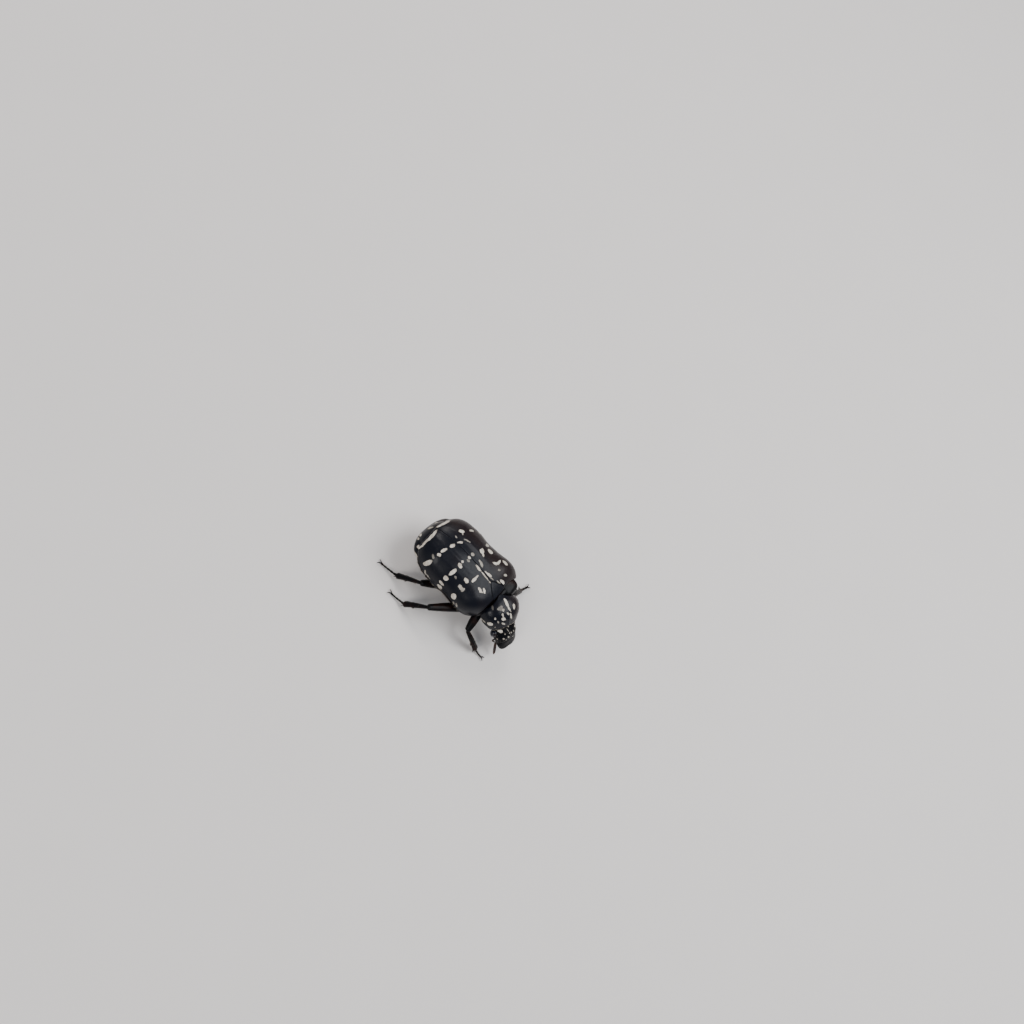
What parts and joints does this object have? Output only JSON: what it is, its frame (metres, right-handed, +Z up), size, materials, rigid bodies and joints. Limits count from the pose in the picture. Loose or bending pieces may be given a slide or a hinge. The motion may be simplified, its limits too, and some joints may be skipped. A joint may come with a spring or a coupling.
{
  "type": "white-spotted rose beetle",
  "caption": "Life-size still model of a black flower beetle with cream spots, standing on its feet with the head lowered and turned a little to its right.",
  "frame": {"origin": "centre of the bounding box on the floor, at the level of the soles", "axes": "+Z up; -Y is ahead of the beetle, towards its head; +X is the beetle's left"},
  "size_m": [0.0108, 0.013, 0.0053],
  "materials": {
    "shell_black": "glossy black shell with cream spots and a faint blue and red-brown sheen",
    "body_black": "glossy black underside and head, finely pitted",
    "leg_black": "glossy black with a red-brown cast",
    "eye_navy": "very glossy dark navy",
    "feeler_brown": "dark red-brown, satin"
  },
  "bodies": {
    "root": {"elytron_left": "shell_black", "elytron_right": "shell_black", "scutellum": "shell_black", "pronotum": "shell_black", "pygidium": "shell_black", "hind_thorax": "body_black", "abdomen": "body_black", "prosternum": "body_black", "head": "body_black", "eye_left": "eye_navy", "eye_right": "eye_navy", "antenna_left": "feeler_brown", "antenna_right": "feeler_brown", "leg_front_left": "leg_black", "leg_front_right": "leg_black", "leg_middle_left": "leg_black", "leg_middle_right": "leg_black", "leg_hind_left": "leg_black", "leg_hind_right": "leg_black"}
  },
  "joints": []
}
